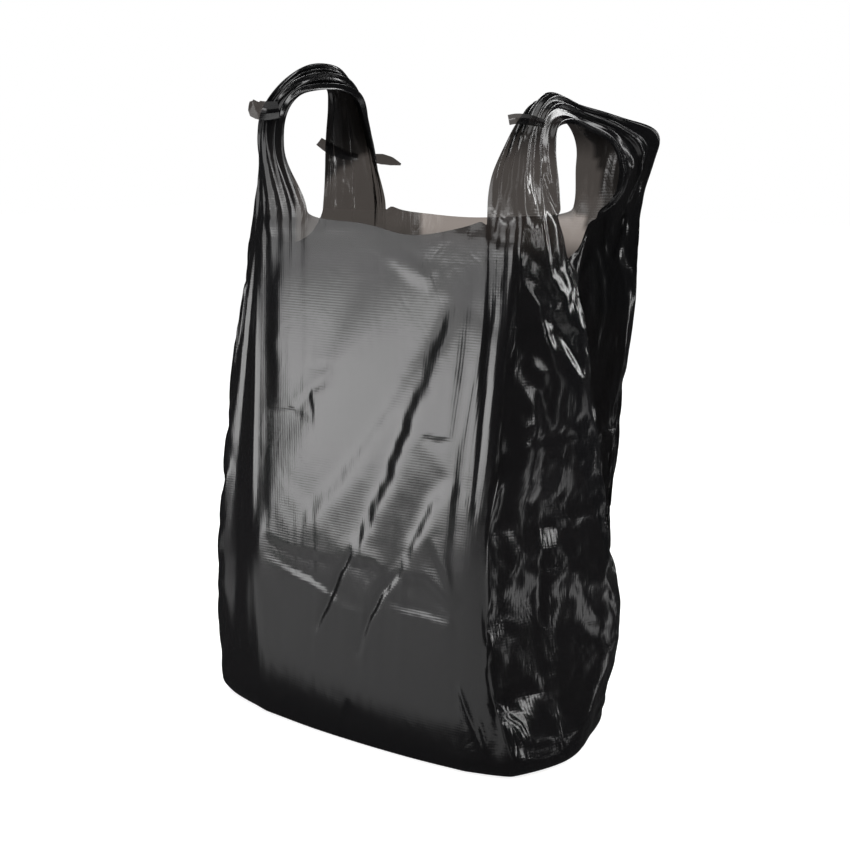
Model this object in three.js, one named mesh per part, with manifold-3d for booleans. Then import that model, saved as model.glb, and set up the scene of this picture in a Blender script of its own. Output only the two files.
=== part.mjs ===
// A gusseted vest carrier bag: one blown tube of thin film, welded flat across the bottom, opened out to stand
// on its base, with the mouth cut away between two handles whose film is gathered where they arch over.
// Millimetres, +Z up. The origin is the middle of the base; the front panel faces -Y.

import * as THREE from 'three';
import { mergeVertices } from 'three/addons/utils/BufferGeometryUtils.js';
import Module from 'manifold-3d';

const wall = 0.8; // film wall, thick enough to be a solid
const rimHeight = 455; // cut edge of the front and back panels
const baseRound = 14; // height over which the sides turn under
const mouthDip = 9; // how far the panels' cut edge sags between the handles
const gatheredThickness = 6; // bunched film on top of each arch
const seamOverlap = 16; // length of a handle's root inside the body's wall
const sectionSteps = 42; // points round one section
const levelSteps = 12; // sections up the body
const archSteps = 22; // sections along one handle
const strapPoints = 7; // points across one handle

// Each section runs anticlockwise from the left front fold: front panel (3 points), right front fold,
// side bulge, outer ridge and inner valley of the right gusset, right back fold, back panel (2 points),
// left back fold, and the two halves of the left gusset, which stands outwards.
const levels = [
  {
    z: 0,
    section: [
      [-126, -84], [-60, -93], [35, -96], [100, -92], [138, -78], [154, -22], [138, 42],
      [130, 66], [116, 84], [55, 88], [-60, 88], [-122, 80], [-170, 24], [-194, -54],
    ],
  },
  {
    z: baseRound,
    section: [
      [-134, -88], [-60, -98], [37, -102], [104, -99], [146, -84], [164, -20], [148, 42],
      [138, 70], [124, 90], [56, 94], [-60, 94], [-130, 86], [-184, 24], [-211, -60],
    ],
  },
  {
    z: 90,
    section: [
      [-136, -82], [-60, -92], [35, -96], [92, -94], [124, -88], [158, -12], [158, 48],
      [146, 74], [134, 90], [55, 92], [-60, 92], [-133, 84], [-184, 20], [-212, -64],
    ],
  },
  {
    z: 180,
    section: [
      [-136, -82], [-60, -90], [32, -94], [90, -92], [122, -86], [152, -26], [154, 40],
      [134, 66], [136, 84], [55, 90], [-60, 90], [-134, 82], [-178, 20], [-204, -69],
    ],
  },
  {
    z: 275,
    section: [
      [-136, -82], [-60, -87], [32, -90], [98, -90], [134, -83], [155, -34], [152, 20],
      [118, 48], [145, 84], [55, 88], [-60, 88], [-134, 82], [-170, 20], [-190, -70],
    ],
  },
  {
    z: 365,
    section: [
      [-138, -82], [-60, -85], [34, -87], [104, -87], [142, -79], [160, -46], [154, -6],
      [108, 42], [155, 84], [55, 86], [-60, 86], [-134, 82], [-158, 20], [-172, -72],
    ],
  },
  {
    z: rimHeight,
    section: [
      [-136, -82], [-60, -82], [34, -82], [106, -84], [140, -77], [152, -56], [148, -28],
      [104, 40], [160, 82], [86, 86], [-60, 84], [-132, 82], [-140, 14], [-154, -63],
    ],
  },
];

// A handle is a band between three curves that run from its front root over the arch to its back root:
// the cut edge towards the mouth, the fold that carries on from the body, and the cut edge of the gusset.
// "front" and "back" give where those three leave the rim, as points of the section counted from the left
// front fold. The gusset is cut down in a curve between them: its middle, half width and depth.
const handles = [
  {
    front: [0.78, 0, -1.24],
    back: [10.8, 11, 12],
    gussetCut: { x: -150, y: -16, halfWidth: 29, depth: 26 },
    mouthEdge: [
      [-92, -84, 500], [-94, -78, 540], [-100, -58, 560], [-104, -30, 566], [-105, 5, 566],
      [-108, 30, 558], [-114, 52, 530], [-118, 72, 490],
    ],
    fold: [
      [-137, -84, 500], [-134, -82, 542], [-126, -62, 567], [-116, -32, 586], [-113, 5, 586],
      [-118, 30, 574], [-124, 52, 543], [-130, 74, 496],
    ],
    sideEdge: [
      [-150, -52, 500], [-140, -52, 545], [-128, -42, 563], [-122, -20, 569], [-121, 0, 568],
      [-127, 10, 552], [-132, 12, 520], [-136, 14, 485],
    ],
  },
  {
    front: [3, 4, 5.95],
    back: [9, 8, 7.45],
    gussetCut: { x: 150, y: 13, halfWidth: 36, depth: 46 },
    mouthEdge: [
      [112, -84, 485], [120, -74, 512], [124, -52, 538], [122, -24, 548], [118, 8, 543],
      [112, 42, 530], [102, 68, 512], [92, 80, 488],
    ],
    fold: [
      [142, -77, 490], [138, -66, 523], [134, -44, 550], [133, -20, 561], [137, 20, 551],
      [152, 56, 543], [175, 84, 529], [166, 84, 495],
    ],
    sideEdge: [
      [150, -34, 480], [146, -34, 514], [141, -24, 531], [139, 0, 536], [143, 25, 530],
      [150, 48, 518], [152, 56, 495], [144, 54, 465],
    ],
  },
];

const wasm = await Module();
wasm.setup();

function closedSection(points) {
  const ring = points.map(([x, y]) => new THREE.Vector3(x, y, 0));
  return new THREE.CatmullRomCurve3(ring, true, 'centripetal');
}

// Level curves are blended along the height by one smooth curve through each matching point.
const levelCurves = levels.map(({ section }) => closedSection(section));

function bodySection(height) {
  const points = [];
  const last = levels.length - 1;
  const upper = Math.max(1, levels.findIndex(({ z }) => z >= Math.min(height, rimHeight)));
  const lower = Math.min(upper, last) - 1;
  const share = (height - levels[lower].z) / (levels[lower + 1].z - levels[lower].z);
  for (let i = 0; i < sectionSteps; i++) {
    const around = i / sectionSteps;
    const column = [lower - 1, lower, lower + 1, lower + 2].map((row) => {
      const kept = THREE.MathUtils.clamp(row, 0, last);
      return levelCurves[kept].getPoint(around);
    });
    const path = new THREE.CatmullRomCurve3(column, false, 'catmullrom', 0.5);
    const point = lower === 0 ? column[1].clone().lerp(column[2], share) : path.getPoint((1 + share) / 3);
    points.push(point.setZ(height));
  }
  return points;
}

// Moves a closed level section sideways; a positive distance goes inwards.
function insetSection(points, distance) {
  return points.map((point, i) => {
    const before = points[(i + points.length - 1) % points.length];
    const after = points[(i + 1) % points.length];
    const along = after.clone().sub(before).normalize();
    return new THREE.Vector3(point.x - along.y * distance, point.y + along.x * distance, point.z);
  });
}

function toManifold(vertices, triangles) {
  const geometry = new THREE.BufferGeometry();
  geometry.setAttribute('position', new THREE.Float32BufferAttribute(vertices, 3));
  geometry.setIndex(triangles);
  const merged = mergeVertices(geometry, 1e-4);
  const mesh = new wasm.Mesh({
    numProp: 3,
    vertProperties: merged.attributes.position.array,
    triVerts: new Uint32Array(merged.index.array),
  });
  return new wasm.Manifold(mesh);
}

// Joins matching closed sections into one solid, with a flat fan on each end.
function loft(sections) {
  const count = sections[0].length;
  const vertices = sections.flat().flatMap((point) => point.toArray());
  const triangles = [];
  for (let row = 0; row < sections.length - 1; row++) {
    for (let i = 0; i < count; i++) {
      const a = row * count + i;
      const b = row * count + ((i + 1) % count);
      triangles.push(a, b, b + count, a, b + count, a + count);
    }
  }
  addCap(sections[0], 0, true, triangles);
  addCap(sections.at(-1), (sections.length - 1) * count, false, triangles);
  return toManifold(vertices, triangles);
}

function addCap(section, offset, facesBack, triangles) {
  const normal = new THREE.Vector3();
  section.forEach((point, i) => {
    normal.add(point.clone().cross(section[(i + 1) % section.length]));
  });
  const basis = new THREE.Matrix4().lookAt(normal, new THREE.Vector3(), new THREE.Vector3(0.31, 0.95, 0.02));
  const flatten = basis.clone().invert();
  const outline = section.map((point) => {
    const flat = point.clone().applyMatrix4(flatten);
    return new THREE.Vector2(flat.x, flat.y);
  });
  for (const [a, b, c] of THREE.ShapeUtils.triangulateShape(outline, [])) {
    triangles.push(offset + a, offset + (facesBack ? c : b), offset + (facesBack ? b : c));
  }
}

function bodyShell() {
  const heights = [0, baseRound / 3];
  for (let i = 0; i <= levelSteps; i++) {
    heights.push(THREE.MathUtils.lerp(baseRound, rimHeight, i / levelSteps));
  }
  const outer = loft(heights.map(bodySection));
  const hollow = heights.map((height) => {
    const inside = insetSection(bodySection(height), wall);
    return inside.map((point) => point.setZ(Math.max(height, wall)));
  });
  hollow[0] = insetSection(bodySection(0), wall * 2).map((point) => point.setZ(wall));
  hollow.push(hollow.at(-1).map((point) => point.clone().setZ(rimHeight + 10)));
  return outer.subtract(loft(hollow));
}

// An elliptical cutter that lies level and takes its lower half out of the rim.
function curvedCutter(radius, depth, length) {
  const cutter = new THREE.CylinderGeometry(radius, radius, length, 32);
  cutter.scale(1, 1, depth / radius);
  cutter.deleteAttribute('normal');
  cutter.deleteAttribute('uv');
  return cutter;
}

function solidOf(geometry) {
  const merged = mergeVertices(geometry, 1e-4);
  return toManifold(Array.from(merged.attributes.position.array), Array.from(merged.index.array));
}

function gussetCutter({ x, y, halfWidth, depth }) {
  const cutter = curvedCutter(halfWidth, depth, 180);
  cutter.rotateZ(Math.PI / 2);
  cutter.translate(x, y, rimHeight);
  return solidOf(cutter);
}

function mouthCutter() {
  const cutter = curvedCutter(88, mouthDip, 260);
  cutter.translate(14, 0, rimHeight);
  return solidOf(cutter);
}

// The points of one handle's root on the rim section, from its mouth edge over the fold to its side edge.
function rootPoints(stations, height) {
  const ring = new THREE.CatmullRomCurve3(bodySection(height), true);
  const [mouth, fold, side] = stations.map((station) => station / levels[0].section.length);
  const middle = (strapPoints - 1) / 2;
  return Array.from({ length: strapPoints }, (_, i) => {
    const beyond = i > middle;
    const around = beyond
      ? THREE.MathUtils.lerp(fold, side, i / middle - 1)
      : THREE.MathUtils.lerp(mouth, fold, i / middle);
    return ring.getPoint((around + 1) % 1).setZ(height);
  });
}

// The points across the band at one share of the way over the arch.
function bandPoints(curves, share) {
  const [mouth, fold, side] = curves.map((curve) => curve.getPoint(share));
  const middle = (strapPoints - 1) / 2;
  return Array.from({ length: strapPoints }, (_, i) => {
    return i <= middle ? mouth.clone().lerp(fold, i / middle) : fold.clone().lerp(side, i / middle - 1);
  });
}

// Gives a strip of points a thickness either side of itself and closes it into one section.
function thicken(points, along, thickness) {
  const outer = [];
  const inner = [];
  points.forEach((point, i) => {
    const before = points[Math.max(i - 1, 0)];
    const after = points[Math.min(i + 1, points.length - 1)];
    const across = after.clone().sub(before).normalize();
    const outwards = across.cross(along).normalize();
    outer.push(point.clone().addScaledVector(outwards, thickness / 2));
    inner.unshift(point.clone().addScaledVector(outwards, -thickness / 2));
  });
  return [...outer, ...inner];
}

function handleBand({ front, back, mouthEdge, fold, sideEdge }) {
  const curves = [mouthEdge, fold, sideEdge].map((list) => {
    return new THREE.CatmullRomCurve3(list.map((point) => new THREE.Vector3(...point)));
  });
  const up = new THREE.Vector3(0, 0, 1);
  const rows = [rootPoints(front, rimHeight - seamOverlap), rootPoints(front, rimHeight)];
  const directions = [up, up];
  const sizes = [wall * 1.5, wall * 1.5];
  for (let i = 0; i <= archSteps; i++) {
    const share = i / archSteps;
    rows.push(bandPoints(curves, share));
    directions.push(curves[1].getTangent(share));
    sizes.push(THREE.MathUtils.lerp(wall * 1.5, gatheredThickness, Math.sin(Math.PI * share) ** 2));
  }
  const rear = [rimHeight, rimHeight - seamOverlap].map((height) => rootPoints(back, height));
  rows.push(...rear);
  directions.push(up.clone().negate(), up.clone().negate());
  sizes.push(wall * 1.5, wall * 1.5);
  return loft(rows.map((row, i) => thicken(row, directions[i], sizes[i])));
}

function carrierBag() {
  const cutters = [mouthCutter(), ...handles.map(({ gussetCut }) => gussetCutter(gussetCut))];
  const body = cutters.reduce((solid, cutter) => solid.subtract(cutter), bodyShell());
  return handles.map(handleBand).reduce((solid, handle) => solid.add(handle), body);
}

function toGeometry(solid) {
  const { vertProperties, triVerts } = solid.getMesh();
  const geometry = new THREE.BufferGeometry();
  geometry.setAttribute('position', new THREE.BufferAttribute(vertProperties, 3));
  geometry.setIndex(new THREE.BufferAttribute(triVerts, 1));
  geometry.computeVertexNormals();
  return geometry;
}

const film = new THREE.MeshStandardMaterial({ color: 0x17171a, roughness: 0.28, metalness: 0 });
const bag = new THREE.Mesh(toGeometry(carrierBag()), film);
bag.name = 'carrier_bag';

const model = new THREE.Group();
model.add(bag);

export default model;
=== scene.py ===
import math

import bmesh
import bpy
import numpy as np
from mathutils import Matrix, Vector


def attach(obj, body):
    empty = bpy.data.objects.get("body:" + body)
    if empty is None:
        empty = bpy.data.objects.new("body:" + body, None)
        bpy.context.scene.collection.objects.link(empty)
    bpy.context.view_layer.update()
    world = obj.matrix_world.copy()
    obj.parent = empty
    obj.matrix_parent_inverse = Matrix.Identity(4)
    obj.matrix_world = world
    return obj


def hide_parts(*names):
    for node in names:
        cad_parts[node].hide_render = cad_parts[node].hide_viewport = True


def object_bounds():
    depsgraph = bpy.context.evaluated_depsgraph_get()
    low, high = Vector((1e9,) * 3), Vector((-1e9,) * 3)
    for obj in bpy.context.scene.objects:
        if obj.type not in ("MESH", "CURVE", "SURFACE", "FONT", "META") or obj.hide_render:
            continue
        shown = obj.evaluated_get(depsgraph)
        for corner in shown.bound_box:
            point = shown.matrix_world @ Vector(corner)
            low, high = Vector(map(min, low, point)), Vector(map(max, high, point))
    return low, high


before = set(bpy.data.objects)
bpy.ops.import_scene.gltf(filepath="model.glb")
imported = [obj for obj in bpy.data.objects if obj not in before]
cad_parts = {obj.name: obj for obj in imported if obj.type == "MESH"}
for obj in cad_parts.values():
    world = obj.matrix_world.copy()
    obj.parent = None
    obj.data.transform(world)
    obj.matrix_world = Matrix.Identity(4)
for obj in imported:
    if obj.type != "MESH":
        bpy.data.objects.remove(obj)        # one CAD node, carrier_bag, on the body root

cadLow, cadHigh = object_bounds()
cadSize = cadHigh - cadLow

# The bag as it stands, in millimetres from the middle of its base. A section runs anticlockwise from the
# left front fold: two points on the front panel, the place where it turns, the right front fold, the right
# gusset's front half, its outer ridge and inner valley, the right back fold, two points on the back panel,
# the left back fold, and the two halves of the left gusset, which stands outwards.
bagShape = {
    "height": 591,
    "rim": 455,
    "baseRound": 14,
    "levels": [
        (0, [(-126, -84), (-60, -93), (35, -96), (100, -92), (138, -78), (154, -22), (138, 42),
             (130, 66), (116, 84), (55, 88), (-60, 88), (-122, 80), (-170, 24), (-194, -54)]),
        (14, [(-134, -91), (-60, -96), (37, -99), (104, -97), (146, -84), (164, -20), (148, 42),
              (138, 70), (124, 90), (56, 94), (-60, 94), (-130, 86), (-184, 24), (-211, -60)]),
        (90, [(-136, -88), (-60, -94.5), (35, -98), (94, -95), (124, -88), (156, -12), (154, 48),
              (142, 74), (134, 90), (55, 92), (-60, 92), (-133, 84), (-184, 20), (-212, -64)]),
        (160, [(-136, -86.5), (-60, -93.5), (33, -97), (88, -94.5), (122, -87), (153, -24), (156, 42),
               (138, 68), (136, 85), (55, 90), (-60, 90), (-134, 82), (-180, 20), (-206, -68)]),
        (205, [(-136, -82.5), (-60, -89.5), (32, -93), (92, -91.5), (122, -86), (152, -28), (154, 36),
               (130, 62), (138, 84), (55, 90), (-60, 90), (-134, 82), (-177, 20), (-200, -69)]),
        (275, [(-136, -80), (-60, -86.5), (32, -90), (98, -90), (134, -83), (155, -34), (152, 20),
               (118, 48), (145, 84), (55, 88), (-60, 88), (-134, 82), (-170, 20), (-190, -70)]),
        (365, [(-138, -77), (-60, -84), (34, -87), (112, -87), (142, -79), (160, -46), (154, -6),
               (108, 42), (155, 84), (55, 86), (-60, 86), (-134, 82), (-158, 20), (-172, -72)]),
        (455, [(-136, -76), (-60, -81), (34, -82), (112, -83), (147, -81), (154, -56), (148, -28),
               (104, 40), (160, 82), (86, 86), (-60, 84), (-132, 82), (-140, 14), (-154, -63)]),
    ],
    "midLevel": 4,  # columns are spaced evenly along this level
    "crispness": [0.9, 0, 0, 0.8, 0.6, 0, 0.4, 0.6, 0.8, 0, 0, 0.8, 0.1, 0.3],  # how creased each point is
    "rimDips": {"front": (9, 0.68), "back": (3, 0.5)},  # depth, and share of the way along the rim
    "rimDipWidth": 0.22,
    "rimRise": 6,  # at the ends of the rim, where the handles begin
    "rimRiseFade": 14,
    "rowSpacing": 6.1,
    "footTurns": (0, 0.45, 0.9, 1.25),  # angles of the rows that turn under at the foot
    "baseRings": 6,
    "baseDepth": 90,
    "baseLine": {"share": 0.45, "shift": -8, "ends": (-70, 60)},  # the base closes on this line
    "weldGap": 1.5,
    "panelColumns": {"front": 44, "back": 26, "rightCut": 20, "leftCut": 8},
}

# Each handle is a band of film that leaves the rim at its front root, arches over and comes down to its
# back root. Three curves carry it: the cut edge towards the mouth, the fold, and the cut edge of the gusset.
# Roots are stations round the section, for the mouth's edge, the fold and the gusset's edge.
handleShape = {
    "halfColumns": 16,
    "sections": 30,
    "rowSpacing": 5.4,
    "rootPull": 0.8,  # how far the film goes on along the wall before it bends
    "pleats": 3.4,  # pleats across each half of the band
    "pleatDepth": 4.4,  # where the band is bunched
    "pleatFade": (400, 540),  # pleats start at the first height and are full at the second
    "pleatRise": 1.6,
    "pleatEdge": 0.12,  # share of a half band over which they fade towards its cut edge
    "pleatRootRows": 3,
    "pleatRun": 200,  # height over which the pleats wander
    "left": {
        "frontRoot": (0.78, 0.0, -1.24),
        "backRoot": (10.8, 11.0, 12.0),
        "mouthEdge": [(-95, -89, 500), (-98, -84, 540), (-103, -60, 560), (-104, -30, 566), (-105, 5, 566),
                      (-108, 30, 558), (-114, 52, 530), (-118, 72, 490)],
        "fold": [(-137, -76, 500), (-134, -75, 542), (-126, -60, 567), (-116, -32, 586), (-113, 5, 586),
                 (-118, 30, 574), (-124, 52, 543), (-130, 74, 496)],
        "sideEdge": [(-150, -52, 500), (-140, -52, 545), (-128, -42, 563), (-122, -20, 569), (-121, 0, 568),
                     (-127, 10, 552), (-132, 12, 520), (-136, 14, 485)],
        "cutDepth": 26,  # of the curved cut in the gusset
    },
    "right": {
        "frontRoot": (3.0, 4.0, 5.95),
        "backRoot": (9.0, 8.0, 7.45),
        "mouthEdge": [(112, -84, 485), (120, -74, 512), (124, -52, 538), (122, -24, 548), (118, 8, 543),
                      (112, 42, 530), (102, 68, 512), (92, 80, 488)],
        "fold": [(142, -77, 490), (138, -66, 523), (134, -44, 550), (133, -20, 561), (137, 20, 551),
                 (152, 56, 543), (175, 84, 529), (166, 84, 495)],
        "sideEdge": [(150, -34, 480), (146, -34, 514), (141, -24, 531), (139, 0, 536), (143, 25, 530),
                     (150, 48, 518), (152, 56, 495), (144, 54, 465)],
        "cutDepth": 46,
    },
}

metre = cadSize.z / bagShape["height"]  # one millimetre of the tables, in metres


def ramp(values, start, span):
    # 0 up to start, 1 from start + span on
    return np.clip((values - start) / span, 0, 1)


def hermite(p1, p2, m1, m2, t):
    t2, t3 = t * t, t * t * t
    return (2 * t3 - 3 * t2 + 1) * p1 + (t3 - 2 * t2 + t) * m1 + (3 * t2 - 2 * t3) * p2 + (t3 - t2) * m2


def smoothRing(points, stations, crispness):
    # closed centripetal curve through the points, read at fractional stations
    points = np.array(points, float)
    count = len(points)
    crisp = np.array(crispness)[:, None]
    step = np.roll(points, -1, 0) - points
    pace = np.sqrt(np.linalg.norm(step, axis=1))[:, None]
    before = np.roll(pace, 1, 0)
    smooth = np.roll(step, 1, 0) / before + step / pace
    smooth -= (np.roll(step, 1, 0) + step) / (before + pace)
    leaving = (1 - crisp) * smooth * pace + crisp * step
    arriving = (1 - crisp) * smooth * before + crisp * np.roll(step, 1, 0)
    base = np.floor(stations).astype(int)
    t = (stations - base)[:, None]
    here, after = base % count, (base + 1) % count
    return hermite(points[here], points[after], leaving[here], arriving[after], t)


def smoothPath(points, count):
    # open curve through the points at even steps of length
    points = np.array(points, float)
    pace = np.sqrt(np.linalg.norm(np.diff(points, axis=0), axis=1))
    knots = np.concatenate([[0], np.cumsum(pace)])
    slope = np.gradient(points, knots, axis=0)
    fine = np.linspace(0, knots[-1], 400)  # close enough to measure length along
    i = np.clip(np.searchsorted(knots, fine) - 1, 0, len(points) - 2)
    width = (knots[i + 1] - knots[i])[:, None]
    t = (fine - knots[i])[:, None] / width
    curve = hermite(points[i], points[i + 1], slope[i] * width, slope[i + 1] * width, t)
    run = np.concatenate([[0], np.cumsum(np.linalg.norm(np.diff(curve, axis=0), axis=1))])
    even = np.linspace(0, run[-1], count)
    return np.stack([np.interp(even, run, curve[:, k]) for k in range(curve.shape[1])], 1)


def evenStations(start, end, count):
    # stations from start to end, evenly spaced along the section at mid height
    fine = np.linspace(start, end, 200)
    ring = smoothRing(bagShape["levels"][bagShape["midLevel"]][1], fine, bagShape["crispness"])
    run = np.concatenate([[0], np.cumsum(np.linalg.norm(np.diff(ring, axis=0), axis=1))])
    return np.interp(np.linspace(0, run[-1], count + 1), run, fine)[:-1]


def columnPlan():
    # stations round the bag from the left front handle's gusset edge, and the column where each span starts
    half = handleShape["halfColumns"]
    left, right = handleShape["left"], handleShape["right"]
    turns = len(bagShape["levels"][0][1])
    plan = bagShape["panelColumns"]
    mouthL, foldL, sideL = left["frontRoot"]
    mouthR, foldR, sideR = right["frontRoot"]
    backMouthR, backFoldR, backSideR = right["backRoot"]
    backMouthL, backFoldL, backSideL = left["backRoot"]
    spans = [
        (sideL, foldL, half), (foldL, mouthL, half), (mouthL, mouthR, plan["front"]),
        (mouthR, foldR, half), (foldR, sideR, half), (sideR, backSideR, plan["rightCut"]),
        (backSideR, backFoldR, half), (backFoldR, backMouthR, half), (backMouthR, backMouthL, plan["back"]),
        (backMouthL, backFoldL, half), (backFoldL, backSideL, half),
        (backSideL, sideL + turns, plan["leftCut"]),
    ]
    stations, starts = [], []
    for start, end, count in spans:
        starts.append(sum(len(s) for s in stations))
        stations.append(evenStations(start, end, count))
    return np.concatenate(stations), starts


def rimHeights(stations, starts):
    # height of the cut edge over every column
    heights = np.full(len(stations), float(bagShape["rim"]))
    rise, fade = bagShape["rimRise"], bagShape["rimRiseFade"]
    for first, last, name in ((starts[2], starts[3], "front"), (starts[8], starts[9], "back")):
        dip, lowest = bagShape["rimDips"][name]
        share = np.linspace(0, 1, last - first)
        heights[first:last] -= dip * np.exp(-((share - lowest) / bagShape["rimDipWidth"]) ** 2)
        heights[first:last] += rise * np.exp(-share * fade) + rise * np.exp(-(1 - share) * fade)
    for first, last, name in ((starts[5], starts[6], "right"), (starts[11], len(stations), "left")):
        share = np.linspace(-1, 1, last - first)
        heights[first:last] -= handleShape[name]["cutDepth"] * np.sqrt(np.clip(1 - share ** 2, 0, 1))
    return heights


def bodyPoints(stations, heights):
    # heights is rows x columns; the result is rows x columns x 3
    levels = bagShape["levels"]
    z = np.array([level[0] for level in levels], float)
    rings = np.stack([smoothRing(ring, stations, bagShape["crispness"]) for _, ring in levels])
    slope = np.gradient(rings[1:], z[1:], axis=0)
    row = np.clip(np.searchsorted(z[1:], heights) - 1, 0, len(z) - 3)
    column = np.broadcast_to(np.arange(len(stations)), heights.shape)
    width = (z[row + 2] - z[row + 1])[..., None]
    t = (heights - z[row + 1])[..., None] / width
    flat = hermite(rings[row + 1, column], rings[row + 2, column],
                   slope[row, column] * width, slope[row + 1, column] * width, t)
    lift = ramp(heights, 0, bagShape["baseRound"])[..., None]
    turned = rings[0, column] + (rings[1, column] - rings[0, column]) * np.sqrt(1 - (1 - lift) ** 2)
    flat = np.where(lift < 1, turned, flat)
    return np.concatenate([flat, heights[..., None]], -1)


def rowShares():
    # shares of a column's height: the lowest rows turn under at the foot, the rest are even
    rim, base = bagShape["rim"], bagShape["baseRound"]
    turn = base * (1 - np.cos(np.array(bagShape["footTurns"]))) / rim
    rows = round((rim - base) / bagShape["rowSpacing"])
    return np.concatenate([turn, np.linspace(base / rim, 1, rows + 1)])


def bandRows(handle, front, back):
    # front and back are the top rows of the two roots, from gusset edge to mouth edge
    edges = [smoothPath(handle[key], handleShape["sections"]) for key in ("sideEdge", "fold", "mouthEdge")]
    across = np.linspace(0, 2, 2 * handleShape["halfColumns"] + 1)
    band = []
    for side, fold, mouth in zip(*edges):
        lower = side + (fold - side) * np.clip(across, 0, 1)[:, None]
        band.append(lower + (mouth - fold) * np.clip(across - 1, 0, 1)[:, None])
    return np.array([front, *band[2:-2], back])  # the sections nearest the roots would crowd them


def gridNormals(points, closed):
    # outward normals of rows x columns of points
    if closed:
        across = np.roll(points, -1, 1) - np.roll(points, 1, 1)
    else:
        across = np.gradient(points, axis=1)
    along = np.gradient(points, axis=0)
    normal = np.cross(across, along)
    return normal / np.maximum(np.linalg.norm(normal, axis=2, keepdims=True), 1e-9)


def pleatWave(across, height):
    # uneven pleats: two waves shift them sideways, finer ones lie over them, and their depth varies
    along = height / handleShape["pleatRun"] - 2.5
    warped = across + 0.10 * np.sin(4.1 * across + 1.3 + along * 2.0)
    warped = warped + 0.05 * np.sin(11 * across - along * 3.0)
    turns = 2 * np.pi * handleShape["pleats"]
    wave = np.arcsin(0.97 * np.sin(turns * warped))
    wave += 0.4 * np.sin(turns * 1.9 * warped + 2.0 + along * 4.0)
    return wave * (0.75 + 0.35 * np.sin(3.3 * across + along * 5.0 + 0.7))


def pleatGrowth(height):
    low, high = handleShape["pleatFade"]
    return ramp(height, low, high - low) ** handleShape["pleatRise"]


def pleatBody(body, starts):
    # the gathers run on down from each handle into the wall below it
    width = 2 * handleShape["halfColumns"] + 1
    normals = gridNormals(body, True)
    for first, flip in ((starts[0], False), (starts[3], True), (starts[6], False), (starts[9], True)):
        kept = np.arange(first, first + width) % body.shape[1]
        across = np.linspace(2, 0, width) if flip else np.linspace(0, 2, width)
        height = body[:, kept, 2]
        inside = ramp(np.minimum(across, 2 - across), 0, handleShape["pleatEdge"])
        push = pleatWave(across[None, :], height) * (pleatGrowth(height) * inside)
        body[:, kept] += normals[:, kept] * (push * handleShape["pleatDepth"])[..., None]
    return body


def pleatBand(strip):
    # rows from the front root to the back root; the roots already carry their pleats
    rows, width = strip.shape[:2]
    across = np.linspace(0, 2, width)
    share = np.linspace(0, 1, rows)[:, None]
    height = strip[..., 2]
    fresh = ramp(np.minimum(share, 1 - share) * rows, 0, handleShape["pleatRootRows"])
    inside = ramp(np.minimum(across, 2 - across)[None, :], 0, handleShape["pleatEdge"])
    push = pleatWave(across[None, :], height) * (pleatGrowth(height) * fresh * (0.35 + 0.65 * inside))
    return strip + gridNormals(strip, False) * (push * handleShape["pleatDepth"])[..., None]


def buildGrid():
    stations, starts = columnPlan()
    heights = rimHeights(stations, starts)
    body = bodyPoints(stations, rowShares()[:, None] * heights[None, :])
    return starts, pleatBody(body, starts)


def wallFaces(body, run):
    # each face has coordinates on the film: the length round the bag, and the height
    rows, columns = body.shape[:2]
    height = body[..., 2]
    faces, coords = [], []
    for r in range(rows - 1):
        for c in range(columns):
            d = (c + 1) % columns
            faces.append((r * columns + c, r * columns + d, (r + 1) * columns + d, (r + 1) * columns + c))
            coords.append(((run[c], height[r, c]), (run[c + 1], height[r, d]),
                           (run[c + 1], height[r + 1, d]), (run[c], height[r + 1, c])))
    return faces, coords


def closeBase(vertices, faces, coords, outline, run):
    # rings from the foot inwards; the last one lies on a line along the middle of the base
    rings, depth, line = bagShape["baseRings"], bagShape["baseDepth"], bagShape["baseLine"]
    columns = len(outline)
    target = np.zeros((columns, 3))
    target[:, 0] = np.clip(outline[:, 0] * line["share"] + line["shift"], *line["ends"])
    ring = list(range(columns))
    for k in range(1, rings + 1):
        points = outline + (target - outline) * (k / rings)
        points[:, 2] = 0
        fresh = list(range(len(vertices), len(vertices) + columns))
        vertices += list(points)
        inner, outer = -depth * k / rings, -depth * (k - 1) / rings
        for c in range(columns):
            d = (c + 1) % columns
            faces.append((fresh[c], fresh[d], ring[d], ring[c]))
            coords.append(((run[c], inner), (run[c + 1], inner), (run[c + 1], outer), (run[c], outer)))
        ring = fresh
    return ring


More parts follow.
